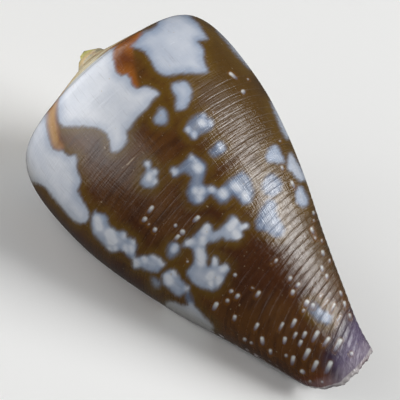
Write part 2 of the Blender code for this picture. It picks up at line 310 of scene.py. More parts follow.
# Brighter spots inside the patches, where the white lies thick.
SPOTS_IN_PATCHES = (
    (207, 226, 204.5, 231, 3.6), (191, 241, 188, 242.5, 3.0), (203, 239, 203, 243, 3.0),
    (200, 252, 201.5, 262, 4.2), (236.5, 221, 230, 227, 3.2), (246, 226, 242.5, 227.5, 2.6),
    (236, 234, 239.5, 238, 3.6), (215, 259, 215, 263, 2.4), (226, 267, 223, 269, 3.2),
    (211, 274, 209.5, 277, 3.0), (219, 279, 219, 282.5, 3.2), (211, 283, 211, 285, 2.0),
    (176, 246.5, 174, 249.5, 3.2), (97, 219, 99, 227, 3.6), (110, 233, 112, 241, 4.5),
    (109.5, 249, 109.8, 250, 2.0), (115, 248, 115, 249.5, 2.0), (125, 235, 124.5, 236.5, 2.0),
    (133, 240.5, 133.5, 243, 2.2), (131.5, 247.5, 132, 250.5, 2.8), (125, 248, 126, 250.5, 2.4),
    (135.5, 261.5, 136, 264, 3.2), (144, 258.5, 145, 259.5, 2.4), (152.5, 256, 156, 258.5, 1.9),
    (159, 260, 163, 264.5, 2.2), (167.5, 277.5, 169, 281.5, 3.8), (173.5, 271.5, 175, 274, 2.4),
    (187.5, 287.5, 187, 289, 2.0), (148, 162.5, 147.5, 164, 2.0), (155, 171, 154.5, 172.5, 2.2),
    (149.5, 175.5, 149, 178, 2.8), (156, 181, 155.5, 182.5, 2.2), (173.7, 171.5, 173.7, 172.5, 3.4),
    (191.5, 155.8, 192, 157.5, 2.4), (197.5, 166.5, 199, 168.5, 4.2), (195, 160.5, 196, 162, 2.0),
    (202, 190.5, 200.5, 193, 2.8), (195, 190, 195.5, 191.5, 2.4), (211, 188.5, 212, 189.5, 3.0),
    (222.5, 192, 224, 194.5, 3.8), (199.5, 197.5, 199.5, 199.5, 2.8), (204.5, 114.3, 204, 115.5, 2.2),
    (211, 122, 211.5, 123.5, 2.8), (202, 122, 203, 123.5, 3.4), (194, 134.5, 194.3, 137, 2.6),
    (187.5, 129.5, 187.5, 131.5, 2.4), (221, 145.5, 222, 148.5, 3.2), (244.5, 195, 246, 198, 3.4),
    (235, 185.5, 238, 188.5, 3.6), (320, 310.5, 320.5, 312, 1.9), (327.5, 315.5, 325.5, 320, 1.8),
)
# Thin light lines, in the same form as the spots.
THIN_LIGHT_LINES = (
    (120.5, 169, 128, 164, 0.8), (127, 165, 137, 154, 0.9), (142, 151.5, 143, 154, 1.0),
    (140, 144, 140, 148, 0.8), (143, 115, 142, 123, 0.8), (104, 146, 106, 150, 0.9),
    (176.5, 254, 177, 261, 0.7), (140, 76, 143, 84, 0.8),
)

VIOLET_ZONE = (
    (344, 312), (338, 330), (329, 344), (324, 354), (321, 366), (327, 377), (340, 392), (362, 384),
    (388, 360), (382, 330), (362, 300),
)

# How far from an outline or spot, in pixels, its depth is worked out, and how soft the edges are.
WHITE_REACH = 22.0
VIOLET_REACH = 24.0
TONGUE_REACH = 6.0
SPOT_REACH = 6.0
LOBE_REACH = 4.0
MILK_EDGE = (-4.0, 2.0)
LOBE_EDGE = (-3.2, 3.2)
TONGUE_EDGE = (-4.0, 3.0)
OFF_PHOTO = (-100.0, -100.0)

# Blotches of the older whorls: cells to a turn, length of a cell, depth, bias and milky thickness.
SPIRE_BLOTCHES = 7.0
BLOTCH_LENGTH = 9.0
BLOTCH_DEPTH = 1.6
BLOTCH_BIAS = 0.1
BLOTCH_MILK = 0.6
OLDER_AGES = (1.8, 2.5)

# Hidden half, which mirrors the shown one loosely: over which ages past the view it starts to stray,
# and by what cells and how much it does so around and along the coil.
STRAY_AGES = (0.02, 0.16)
STRAY_AROUND = (7.0, 0.035)
STRAY_ALONG = (6.0, 0.05)

# Distance to the siphonal end where a whorl has none, and how far the spire's cream overlaps.
FAR_FROM_END = 9.0
RAMP_OVERLAP = 0.25

FLOOR_RADIUS = 3.0
LIGHT_DISTANCE = 0.7
WORLD_STRENGTH = 0.055
# Soft boxes: direction to the photograph's right, up and towards the camera, sides in metres, and power.
SOFT_BOXES = (
    ("right_box", (0.78, 0.44, 0.30), (0.62, 0.50), 0.72),
    ("lower_right_box", (0.92, 0.27, 0.26), (0.38, 0.50), 4.2),
    ("left_box", (-0.74, 0.66, 0.14), (0.90, 0.70), 2.65),
    ("front_left_box", (-0.68, 0.10, 0.68), (0.62, 0.56), 0.8),
    ("low_left_box", (-0.90, 0.04, 0.42), (0.50, 0.56), 1.0),
)
# Fill lights, in the same form. They light the shell without reflections of their own.
FILL_BOXES = (
    ("fill_box", (-0.45, -0.10, 0.88), (1.0, 1.0), 1.0),
    ("back_left_box", (-0.82, 0.42, -0.30), (0.80, 0.60), 3.2),
)


def smooth(value):
    """Smooth step of a value between 0 and 1."""
    value = np.clip(value, 0.0, 1.0)
    return value * value * (3.0 - 2.0 * value)


def fade(value, start, stop):
    """Smooth rise from 0 at start to 1 at stop."""
    return smooth((value - start) / (stop - start))


def fall(value, start, stop):
    """Smooth fall from 1 at start to 0 at stop."""
    return 1 - fade(value, start, stop)


# Section of a whorl

def size_at(age):
    """Size of the section at this age, relative to the lip."""
    return np.exp(-(GROWTH_RATE * age + EARLY_GROWTH * age * age))


def shoulder_point(part):
    """Rounded shoulder: 0 at the ramp's edge, 1 where the body side starts."""
    return [
        (1 - part) ** 2 * edge + 2 * part * (1 - part) * bulge + part ** 2 * side
        for edge, bulge, side in zip(SHOULDER_EDGE, SHOULDER_BULGE, BODY_SIDE[0])
    ]


def body_side_radius(x):
    """Radius of the full-size body side, by cubic pieces through its stations."""
    stations = np.array(BODY_SIDE)
    at, radius = stations[:, 0], stations[:, 1]
    slope = np.empty(len(at))
    slope[0] = (radius[0] - SHOULDER_BULGE[1]) / (at[0] - SHOULDER_BULGE[0])
    slope[1:-1] = (radius[2:] - radius[:-2]) / (at[2:] - at[:-2])
    slope[-1] = (radius[-1] - radius[-2]) / (at[-1] - at[-2])
    x = np.clip(x, at[0], at[-1])
    piece = np.clip(np.searchsorted(at, x) - 1, 0, len(at) - 2)
    span = at[piece + 1] - at[piece]
    t = (x - at[piece]) / span
    return (
        (2 * t ** 3 - 3 * t ** 2 + 1) * radius[piece]
        + (t ** 3 - 2 * t ** 2 + t) * span * slope[piece]
        + (3 * t ** 2 - 2 * t ** 3) * radius[piece + 1]
        + (t ** 3 - t ** 2) * span * slope[piece + 1]
    )


SHOULDER_TABLE = np.array([shoulder_point(part) for part in np.linspace(0, 1, 60)])


def profile_radius(x):
    """Radius of the full-size section at x, on the shoulder or on the side below it."""
    on_shoulder = np.interp(x, SHOULDER_TABLE[:, 0], SHOULDER_TABLE[:, 1])
    return np.where(x < BODY_SIDE[0][0], on_shoulder, body_side_radius(x))


def end_at(age):
    return BODY_LENGTH - RIM_ROUNDING - np.interp(age, END_AGES, END_SHORTFALLS)


def end_chips(age):
    """Small chips and waves of the siphonal end, along the coil."""
    rng = np.random.default_rng(23)
    waves = sum(np.sin(age * TURN * count + rng.uniform(0, TURN)) for count in END_CHIP_WAVES)
    return END_CHIP * waves * fall(age, *END_CHIPS_FADE)


STRIP_ROWS = RAMP_ROWS + STRIP_SHOULDER_ROWS
BODY_ROWS = SHOULDER_ROWS + SIDE_ROWS
ALL_ROWS = STRIP_ROWS + BODY_ROWS


def section(age):
    """Outside of the whorl at each age, as x and r with one column for each row of the mesh."""
    age = np.atleast_1d(age)[:, None]
    size = size_at(age)
    suture = shoulder_point(SUTURE_PART)
    ramp_part = np.arange(RAMP_ROWS) / RAMP_ROWS
    ramp = []
    for axis in range(2):
        inner = suture[axis] * size_at(age + 1)
        ramp.append(inner + (SHOULDER_EDGE[axis] * size - inner) * ramp_part)
    ramp[0] = ramp[0] + RAMP_HOLLOW * size * np.sin(math.pi * ramp_part)
    upper = np.linspace(0, SUTURE_PART, STRIP_SHOULDER_ROWS + 1)[:-1]
    lower = np.linspace(SUTURE_PART, 1, SHOULDER_ROWS + 1)[:-1]
    shoulder = shoulder_point(np.concatenate([upper, lower]))
    start = BODY_SIDE[0][0] * size
    side_x = start + (end_at(age) + end_chips(age) - start) * np.arange(SIDE_ROWS + 1) / SIDE_ROWS
    side_r = size * body_side_radius(side_x / size)
    x = np.hstack([ramp[0], shoulder[0] * size, side_x])
    r = np.hstack([ramp[1], shoulder[1] * size, side_r])
    return x, r


def outward(x, r):
    """Unit normal of sections, as its parts along x and r."""
    run = np.gradient(x, axis=-1)
    rise = np.gradient(r, axis=-1)
    length = np.hypot(run, rise)
    return -rise / length, run / length


def place(x, r, age):
    """World position, in millimetres before the final shift, of section points at their ages."""
    angle = LIP_ANGLE - TURN * age
    for height, inner, outer in APEX_TIERS:
        x = x - height * fall(r, inner, outer)
    y = -r * np.sin(angle)
    z = r * np.cos(angle)
    return np.stack([x * AXIS[0] + z * BACK[0], y, z * BACK[2] + x * AXIS[2]], axis=-1)


# Smooth seeded noise, for shapes and for the hidden side's markings

def noise(points, scale, seed):
    """Value noise in three dimensions, from -1 to 1, of points (n, 3) over cells of this scale."""
    rng = np.random.default_rng(seed)
    lattice = rng.uniform(-1, 1, (16, 16, 16))
    scaled = points / scale + 1000.0
    cell = np.floor(scaled).astype(int)
    part = smooth(scaled - cell)
    total = 0.0
    for corner in np.ndindex(2, 2, 2):
        weight = 1.0
        for axis in range(3):
            along = part[:, axis]
            weight = weight * (along if corner[axis] else 1 - along)
        index = (cell + corner) % 16
        total = total + weight * lattice[index[:, 0], index[:, 1], index[:, 2]]
    return total


# Gathering the mesh

OUTSIDE, EDGE, INSIDE = 0, 1, 2


class Surface:
    """Section points and faces, gathered before they become one mesh."""

    def __init__(self):
        self.columns = {"x": [], "r": [], "age": [], "kind": [], "relief": []}
        self.count = 0
        self.faces = []

    def add(self, x, r, age, kind, relief=0.0):
        """Adds points and returns their indices, in the shape of x."""
        x = np.asarray(x, float)
        for name, value in (("x", x), ("r", r), ("age", age), ("kind", kind), ("relief", relief)):
            self.columns[name].append(np.broadcast_to(value, x.shape).ravel().astype(float))
        first = self.count
        self.count += x.size
        return np.arange(first, self.count).reshape(x.shape)

    def column(self, name):
        return np.concatenate(self.columns[name])

    def sheet(self, grid):
        """Quads over a grid of indices."""
        quads = np.stack([grid[:-1, :-1], grid[:-1, 1:], grid[1:, 1:], grid[1:, :-1]], axis=-1)
        self.faces.extend(map(tuple, quads.reshape(-1, 4).tolist()))

    def cell(self, one, other):
        """One face between two runs of indices that share their direction."""
        corners = list(dict.fromkeys([int(i) for i in one] + [int(i) for i in other[::-1]]))
        self.faces.append(tuple(corners))

    def join(self, fine, fine_stops, coarse):
        """Faces between a fine run and a coarse one, whose points stand at fine_stops of the fine run."""
        for i in range(len(coarse) - 1):
            self.cell(fine[fine_stops[i]:fine_stops[i + 1] + 1], coarse[i:i + 2])


def column_ages():
    shown = np.linspace(0, SHOWN_AGE, SHOWN_STEPS + 1)
    hidden = np.linspace(SHOWN_AGE, 1, HIDDEN_STEPS + 1)
    return np.concatenate([shown, hidden[1:]])


AGES = column_ages()
STEPS = len(AGES) - 1
COARSE_COLUMNS = sorted(set(range(0, STEPS, COARSE)) | {STEPS})


def spire_strip(surface):
    """Ramps and upper shoulders of every whorl. Each shares its inner edge with the whorl before."""
    strip = -np.ones((WHORLS * STEPS + 1, STRIP_ROWS + 1), int)
    for whorl in range(WHORLS):
        coarse = whorl >= COARSE_FROM_WHORL
        last = whorl == WHORLS - 1
        x, r = section(AGES + whorl)
        columns = COARSE_COLUMNS if coarse else range(STEPS + 1)
        for column in columns:
            k = whorl * STEPS + column
            if column == STEPS and not last:
                continue
            rows = slice(1, STRIP_ROWS + 1)
            strip[k, rows] = surface.add(x[column, rows], r[column, rows], AGES[column] + whorl, OUTSIDE, 1.0)
        if whorl == COARSE_FROM_WHORL:
            for column in range(STEPS):
                k = whorl * STEPS + column
                if strip[k, STRIP_ROWS] < 0:
                    point = x[column, STRIP_ROWS:STRIP_ROWS + 1], r[column, STRIP_ROWS:STRIP_ROWS + 1]
                    strip[k, STRIP_ROWS] = surface.add(*point, AGES[column] + whorl, OUTSIDE, 1.0)[0]
    apex = surface.add([APEX_BLUNTING], [0.0], WHORLS, OUTSIDE, 0.0)[0]
    filled = np.flatnonzero(strip[:, 1] >= 0)
    for start, stop in zip(filled, filled[1:]):
        for row in range(STRIP_ROWS):
            if row:
                lower = strip[start:stop + 1, row]
            elif stop + STEPS < len(strip):
                lower = strip[start + STEPS:stop + STEPS + 1, STRIP_ROWS]
            elif start + STEPS < len(strip):
                lower = np.array([strip[start + STEPS, STRIP_ROWS], apex])
            else:
                lower = np.array([apex])
            upper = strip[start:stop + 1, row + 1]
            surface.cell(lower[lower >= 0], upper[upper >= 0])
    surface.cell([apex], strip[-1, 1:])
    return strip


def lip_jitter(row_part):
    """How far the lip's edge stands back, in turns, along its length: small chips and waves."""
    rng = np.random.default_rng(21)
    waves = sum(np.sin(row_part * phase + rng.uniform(0, TURN)) / phase ** 0.5 for phase in LIP_CHIP_PHASES)
    return LIP_CHIP * waves


def body_whorl(surface, strip):
    """Outside of the last whorl, below its suture."""
    x, r = section(AGES)
    rows = np.arange(ALL_ROWS + 1) / ALL_ROWS
    near_lip = fall(AGES, *LIP_CHIPS_FADE)
    age = AGES[:, None] + near_lip[:, None] * lip_jitter(rows)[None, :]
    body = np.empty((STEPS + 1, BODY_ROWS + 1), int)
    body[:, 0] = strip[:STEPS + 1, STRIP_ROWS]
    below = slice(STRIP_ROWS + 1, ALL_ROWS + 1)
    body[:, 1:] = surface.add(x[:, below], r[:, below], age[:, below], OUTSIDE, 1.0)
    surface.sheet(body)
    return body


def wall_at(age):
    return LIP_WALL + (WALL - LIP_WALL) * fade(age, 0.0, LIP_THINNING_AGE)


def columella_radius(x, r, chamber_age):
    """Radius of the whorl before, drawn in towards the siphonal end inside the chamber."""
    drawn_in = COLUMELLA_NARROWING * fade(x, *COLUMELLA_NARROWS)
    return r * (1 - drawn_in * fade(chamber_age, 0.0, COLUMELLA_NARROWS_AGE))


def chamber(surface, body):
    """Inside of the last whorl: the wall before, the inner face of the outer wall and the deep end."""
    ages = AGES[COARSE_COLUMNS]
    body_rows = [INNER_ROW_STEP // 2, *range(INNER_ROW_STEP, BODY_ROWS, INNER_ROW_STEP), BODY_ROWS]
    stops = [STRIP_ROWS + row for row in body_rows]

    # Wall before, which the chamber winds round.
    x, r = section(ages + 1)
    x, r = x[:, stops], r[:, stops]
    r = columella_radius(x, r, ages[:, None])
    before = np.empty(x.shape, int)
    before[0] = body[STEPS, body_rows]
    before[1:] = surface.add(x[1:], r[1:], (ages[1:] + 1)[:, None], INSIDE)
    surface.join(body[STEPS], body_rows, before[1])
    surface.sheet(before[1:])

    # Inner face of the outer wall.
    outer_x, outer_r = section(ages)
    across, out = outward(outer_x, outer_r)
    wall = wall_at(ages)[:, None]
    inner_x = outer_x - across * wall
    inner_r = outer_r - out * wall
    older_size = size_at(ages + 1)[:, None]
    older_r = columella_radius(inner_x, older_size * profile_radius(inner_x / older_size), ages[:, None])
    closed_from = BODY_LENGTH - CANAL_CLOSED_LENGTH
    closing = fade(ages, *CANAL_CLOSES_AGES)[:, None]
    closing = closing * fade(inner_x, BODY_LENGTH - 2 * CANAL_CLOSED_LENGTH, closed_from)
    closed_r = older_r + CANAL_GAP
    inner_r = np.maximum(inner_r, closed_r)
    inner_r = inner_r + (closed_r - inner_r) * closing
    face_stops = INNER_STRIP_ROWS + [STRIP_ROWS] + stops[1:]
    inner = np.empty((len(ages), len(face_stops) + 1), int)
    inner[:, 0] = before[:, 0]
    inner[:, 1:] = surface.add(inner_x[:, face_stops], inner_r[:, face_stops], ages[:, None], INSIDE)
    surface.sheet(inner)

    # Deep end, across the chamber. The inner face has more points near the suture.
    extra = inner.shape[1] - before.shape[1]
    surface.join(inner[-1], [0, *range(extra + 1, inner.shape[1])], before[-1])
    return before, inner, [0] + face_stops


BAND_ANGLES = [math.pi * k / 4 for k in (1, 2, 3)]


def rounded_band(surface, edge, starts, ages, outer, inner, wall, turned):
    """Band that turns from an outer edge towards the inner one, in runs that begin at given points."""
    runs = [np.array(edge)]
    for start, angle in zip(starts, BAND_ANGLES):
        share = (1 + math.cos(angle)) / 2
        nose = wall / 2 * math.sin(angle)
        x = inner[0] + (outer[0] - inner[0]) * share + nose * np.sin(turned)
        r = inner[1] + (outer[1] - inner[1]) * share
        age = ages - nose * np.cos(turned) / (TURN * r)
        run = surface.add(x[1:], r[1:], age[1:], EDGE, share)
        runs.append(np.concatenate([[start], run]))
    surface.sheet(np.array(runs))
    return runs


def rounded_edges(surface, strip, body, before, inner, face_stops):
    """Rounded outer lip and siphonal rim, and the closed end of the columella."""
    x, r = section(AGES)
    across, out = outward(x, r)
    wall = wall_at(AGES)
    inside_x, inside_r = x - across * wall[:, None], r - out * wall[:, None]

    # Outer lip.
    rows = np.arange(ALL_ROWS + 1)
    turned = fade(rows, ALL_ROWS - LIP_CORNER_ROWS, ALL_ROWS) * math.pi / 4
    edge = [strip[STEPS, STRIP_ROWS], *strip[0, 1:], *body[0, 1:]]
    ends = (x[0], r[0]), (inside_x[0], inside_r[0])
    lip = rounded_band(surface, edge, body[STEPS, 1:], lip_jitter(rows / ALL_ROWS), *ends, LIP_WALL, turned)
    surface.join(lip[-1], face_stops, inner[0])

    # Siphonal rim.
    turned = math.pi / 4 * (1 + fade(AGES, 0.0, RIM_CORNER_AGE))
    starts = [run[-1] for run in lip[1:]]
    ends = (x[:, -1], r[:, -1]), (inside_x[:, -1], inside_r[:, -1])
    rim = rounded_band(surface, body[:, BODY_ROWS], starts, AGES, *ends, wall, turned)
    surface.join(rim[-1], COARSE_COLUMNS, inner[:, -1])

    # Closed end of the columella.
    centre_x = end_at(COLUMELLA_END_AGE) + COLUMELLA_DOME
    centre = surface.add([centre_x], [0.0], COLUMELLA_END_AGE, INSIDE)[0]
    loop = [*before[:, -1], inner[-1, -1], *(run[-1] for run in rim[:0:-1])]
    for i in range(len(loop)):
        surface.faces.append((int(centre), int(loop[i]), int(loop[(i + 1) % len(loop)])))


def shell_surface():
    surface = Surface()
    strip = spire_strip(surface)
    body = body_whorl(surface, strip)
    before, inner, face_stops = chamber(surface, body)
    rounded_edges(surface, strip, body, before, inner, face_stops)
    return surface


def mesh_from(surface, points):
    mesh = bpy.data.meshes.new("shell_surface")
    mesh.from_pydata(points.tolist(), [], surface.faces)
    working = bmesh.new()
    working.from_mesh(mesh)
    bmesh.ops.recalc_face_normals(working, faces=working.faces)
    working.to_mesh(mesh)
    working.free()
    mesh.shade_smooth()
    return mesh


def vertex_normals(mesh):
    normals = np.empty(len(mesh.vertices) * 3, np.float32)
    mesh.vertex_normals.foreach_get("vector", normals)
    return normals.reshape(-1, 3).astype(float)


def camera_axes():
    """Right, up and backward directions of the camera at the photograph's viewing angle."""
    meridian = LIP_ANGLE - LIP_FROM_MERIDIAN
    radial = BACK * math.cos(meridian) + LIP_SIDE * math.sin(meridian)
    toward = math.cos(AXIS_TILT_TO_CAMERA) * radial + math.sin(AXIS_TILT_TO_CAMERA) * AXIS
    along = (AXIS - toward * (AXIS @ toward)) / math.cos(AXIS_TILT_TO_CAMERA)
    across = BACK * math.sin(meridian) - LIP_SIDE * math.cos(meridian)
    turn_cos, turn_sin = math.cos(AXIS_ANGLE_IN_PHOTO), math.sin(AXIS_ANGLE_IN_PHOTO)
    return turn_cos * along + turn_sin * across, turn_cos * across - turn_sin * along, toward


RIGHT, UP, TOWARD = camera_axes()


def camera_place(origin):
    """Camera position, in millimetres, that puts the coil's origin on its pixel of the photograph."""
    right, down = PHOTO_MIDDLE - APEX_PIXEL[0], PHOTO_MIDDLE - APEX_PIXEL[1]
    aim = origin + MM_PER_PIXEL * (RIGHT * right - UP * down)
    return aim + TOWARD * (CAMERA_DISTANCE + DEPTH_OF_SCALE)


def to_pixels(points, camera_at):
    """Photograph pixels of points in millimetres."""
    offset = points - camera_at
    scale = CAMERA_DISTANCE / MM_PER_PIXEL / -(offset @ TOWARD)
    return np.stack([PHOTO_MIDDLE + (offset @ RIGHT) * scale, PHOTO_MIDDLE - (offset @ UP) * scale], axis=-1)


def add_object(name, data):
    """New object with this data, in the scene."""
    added = bpy.data.objects.new(name, data)
    bpy.context.scene.collection.objects.link(added)
    return added


def placing(axes, place):
    """Matrix of an object that has these axes and stands at this place, in metres."""
    return Matrix.Translation(Vector(place)) @ Matrix(axes).transposed().to_4x4()


def add_camera(camera_at):
    data = bpy.data.cameras.new("photo_camera")
    data.sensor_fit = "HORIZONTAL"
    data.sensor_width = SENSOR
    data.lens = SENSOR * CAMERA_DISTANCE / (PHOTO_SIZE * MM_PER_PIXEL)
    data.clip_start = 0.01
    camera = add_object("photo_camera", data)
    camera.matrix_world = placing([RIGHT, UP, TOWARD], camera_at * MM)
    bpy.context.scene.camera = camera


def stand_on_floor(points, outside):
    """Shift that puts the undisplaced outside in the frame's box."""
    low, high = points[outside].min(axis=0), points[outside].max(axis=0)
    frame_low, frame_high = np.array(cad_low) / MM, np.array(cad_high) / MM
    middle_y = (frame_low[1] + frame_high[1] - low[1] - high[1]) / 2
    return np.array([frame_low[0] - low[0], middle_y, frame_low[2] - low[2]])


# Relief

def thread_at(x, r, age):
    """Full-size place, along the coil, of the spiral thread through each point."""
    size = size_at(age)
    thread = x / size
    for _ in range(THREAD_ROUNDS):
        slant = 1 + THREADS_SLANT * fade(thread, *THREADS_SLANT_BETWEEN)
        thread = x / size ** slant
    on_ramp = (r < SHOULDER_EDGE[1] * size) & (x < SHOULDER_BULGE[0] * size)
    return np.where(on_ramp, SHOULDER_EDGE[0] - SHOULDER_EDGE[1] + r / size, thread)


def relief_height(points, thread, age):
    """Height of the outside's sculpture, in millimetres."""
    groove = (0.5 + 0.5 * np.cos(TURN * thread / CORD_PITCH)) ** 2
    cords = -CORD_DEPTH * groove * fade(thread, CORD_FROM, CORD_FULL_AT)
    cords = cords * (1 + CORD_UNEVENNESS[1] * noise(points, CORD_UNEVENNESS[0], 3))
    waves = SLOW_WAVE[1] * noise(points, SLOW_WAVE[0], 5) + QUICK_WAVE[1] * noise(points, QUICK_WAVE[0], 7)
    along = np.stack([age * GROWTH_WAVES, thread / GROWTH_WAVE_LENGTH, np.zeros(len(age))], axis=-1)
    return cords + waves + GROWTH_WAVE_HEIGHT * noise(along, 1.0, 9)


# Markings

def rounded(outline):
    """Outline whose corners are cut twice, which leaves smooth curves."""
    points = np.array(outline, float)
    for _ in range(2):
        after = np.roll(points, -1, axis=0)
        points = np.stack([points * 0.75 + after * 0.25, points * 0.25 + after * 0.75], axis=1).reshape(-1, 2)
    return points


def depth_in(pixels, outline, reach):
    """Distance in pixels to a closed outline, positive inside it and no lower than -reach."""
    start = rounded(outline)
    run = np.roll(start, -1, axis=0) - start
    depth = np.full(len(pixels), -float(reach))
    near = np.all((pixels > start.min(axis=0) - reach) & (pixels < start.max(axis=0) + reach), axis=1)
    near = np.flatnonzero(near)
    for chunk in np.array_split(near, 1 + len(near) // 4000):
        offset = pixels[chunk][:, None, :] - start
        part = np.clip((offset * run).sum(axis=2) / (run ** 2).sum(axis=1), 0, 1)
        distance = np.linalg.norm(offset - part[:, :, None] * run, axis=2).min(axis=1)
        crosses = (offset[:, :, 1] < 0) != (offset[:, :, 1] < run[:, 1])
        height = np.where(run[:, 1] == 0, 1.0, run[:, 1])
        left_of = offset[:, :, 0] < offset[:, :, 1] * run[:, 0] / height
        inside = (crosses & left_of).sum(axis=1) % 2 == 1
        depth[chunk] = np.maximum(np.where(inside, distance, -distance), -reach)
    return depth


def spot_coordinates(pixels, spots, reach):
    """Place of each pixel in its nearest spot: 1 at the rim along and across it, and the depth in pixels."""
    nearest = np.tile([2.0, 2.0, -float(reach)], (len(pixels), 1))
    for head_x, head_y, tail_x, tail_y, radius in spots:
        run = np.array([tail_x - head_x, tail_y - head_y])
        half = math.hypot(*run) / 2 + radius
        offset = pixels - [(head_x + tail_x) / 2, (head_y + tail_y) / 2]
        near = np.flatnonzero(np.abs(offset).max(axis=1) < half + reach)
        direction = run / math.hypot(*run)
        along = offset[near] @ direction
        across = offset[near] @ [direction[1], -direction[0]]
        beyond = np.maximum(np.abs(along) - half + radius, 0)
        depth = radius - np.hypot(beyond, across)
        better = depth > nearest[near, 2]
        nearest[near[better]] = np.stack([along / half, across / radius, depth], axis=-1)[better]
    return nearest


def shown_limit(x, size):
    """Age at which the outside turns out of the photograph's view, at this place along the coil."""
    at = np.maximum(x / size, BODY_SIDE[0][0])
    step = 0.05
    slope = (body_side_radius(at + step) - body_side_radius(at - step)) / (2 * step)
    return (LIP_FROM_MERIDIAN + np.arccos(slope * math.tan(AXIS_TILT_TO_CAMERA))) / TURN


def marked_place(x, age, points):
    """Shown place whose markings a point bears. The hidden half mirrors the shown one, loosely."""
    edge = SHOULDER_EDGE[0] * size_at(age)
    part = np.clip((x - edge) / (end_at(age) - edge), 0, 1)
    limit = shown_limit(x, size_at(age))
    beyond = np.maximum(age - limit, 0)
    loose = fade(beyond, *STRAY_AGES)
    twin_age = age - 2 * beyond + STRAY_AROUND[1] * loose * noise(points, STRAY_AROUND[0], 11)
    twin_age = np.clip(twin_age, 0.0, limit)
    part = np.clip(part + STRAY_ALONG[1] * loose * noise(points, STRAY_ALONG[0], 13), 0, 1)
    twin_size = size_at(twin_age)
    twin_edge = SHOULDER_EDGE[0] * twin_size
    twin_x = twin_edge + part * (end_at(twin_age) - twin_edge)
    return twin_x, twin_size * profile_radius(twin_x / twin_size), twin_age


def set_attribute(mesh, name, values):
    """Stores numbers, or vectors of three, on the mesh's points."""
    values = np.asarray(values, np.float32)
    is_vector = values.ndim == 2
    attribute = mesh.attributes.new(name, "FLOAT_VECTOR" if is_vector else "FLOAT", "POINT")
    attribute.data.foreach_set("vector" if is_vector else "value", values.ravel())


def milky_patches(pixels):
    """Depth in the milky patches, in pixels, and how thick they are."""
    white = np.full(len(pixels), -WHITE_REACH)
    milk = np.zeros(len(pixels))
    for thickness, outlines in WHITE_PATCHES:
        for outline in outlines:
            depth = depth_in(pixels, outline, WHITE_REACH)
            white = np.maximum(white, depth)
            milk = np.maximum(milk, thickness * fade(depth, *MILK_EDGE))
    lobes = spot_coordinates(pixels, SPOTS_IN_PATCHES, LOBE_REACH)
    return white, milk + fade(lobes[:, 2], *LOBE_EDGE)


def orange_tongues(pixels):
    """Share of the orange tongues, and of the pale ones among them."""
    orange, pale = np.zeros((2, len(pixels)))
    for outline, paleness in ORANGE_PATCHES:
        share = fade(depth_in(pixels, outline, TONGUE_REACH), *TONGUE_EDGE)
        orange = np.maximum(orange, share)
        pale = np.maximum(pale, share * paleness)
    return orange, pale


def worn_rim(x, points, to_lip, to_end):
    """Share of the pale, worn rim, by the distances to the lip and to the siphonal end."""
    rim = np.maximum(fall(to_lip, 0.0, 0.25), fall(to_end, 0.0, 0.3))
    chipped = fade(noise(points, 0.5, 17), 0.0, 0.5) * fade(x, 20.0, 28.0)
    rim = np.maximum(rim, chipped * fall(to_lip, 0.7, 1.5))
    rim = np.maximum(rim, fade(x, 37.0, 43.0) * fall(to_lip, 0.5, 1.1))
    return np.maximum(rim, 0.9 * chipped * fade(x, 30.0, 36.0) * fall(to_lip, 1.1, 2.4))


def mark(mesh, x, r, age, kind, points, shift, camera_at):
    """Writes what the material reads: markings, and the place on the coil."""
    size = size_at(age)
    on_last = np.where(age > 1.0, age % 1.0, age)
    pixels = to_pixels(place(*marked_place(x, on_last, points)) + shift, camera_at)
    outside = kind == OUTSIDE
    pixels[~outside] = OFF_PHOTO
    white, milk = milky_patches(pixels)
    white = white * MM_PER_PIXEL

    # Blotches of the older whorls.
    thread = thread_at(x, r, age)
    around = np.stack([age * SPIRE_BLOTCHES, thread / BLOTCH_LENGTH, np.zeros(len(x))], axis=-1)
    blotch = BLOTCH_DEPTH * size * (noise(around, 1.0, 15) + BLOTCH_BIAS)
    older = fade(age, *OLDER_AGES)
    white = white + (blotch - white) * older
    milk = milk + (BLOTCH_MILK - milk) * older

    orange, pale = orange_tongues(pixels)
    to_lip = age * TURN * r
    to_end = np.where(age <= 1, end_at(on_last) - x, FAR_FROM_END)
    above = SHOULDER_EDGE[0] + RAMP_OVERLAP - x / size
    seam = shoulder_point(SUTURE_PART)[1] * size_at(age + 1)
    on_ramp = (r < SHOULDER_EDGE[1] * size * 1.01) & (x < SHOULDER_BULGE[0] * size)
    attributes = {
        "white": white,
        "milk": milk,
        "spot": spot_coordinates(pixels, SINGLE_SPOTS, SPOT_REACH),
        "thin_light_line": spot_coordinates(pixels, THIN_LIGHT_LINES, SPOT_REACH),
        "orange": orange,
        "pale": pale,
        "violet": depth_in(pixels, VIOLET_ZONE, VIOLET_REACH),
        "ochre": fade(age, 0.27, 0.4) * fall(age, 0.62, 0.8) * fall(x, 36.0, 46.0),
        "thread": thread,
        "age": age,
        "rim": np.where(outside, worn_rim(x, points, to_lip, to_end), 1.0),
        "near_end": fall(to_end, 0.6, 3.6),
        "ramp": outside * fade(above, 0.0, 0.4),
        "seam": (on_ramp & outside) * fall(r - seam, 0.0, 0.35),
        "apex": outside * fall(r, 0.9, 1.7),
        "inside": kind == INSIDE,
    }
    for name, values in attributes.items():
        set_attribute(mesh, name, values)


# Material

def colour(*display):
    """Linear colour of display values from 0 to 255."""
    linear = (c / 255 / 12.92 if c < 10.3 else ((c / 255 + 0.055) / 1.055) ** 2.4 for c in display)
    return (*linear, 1.0)


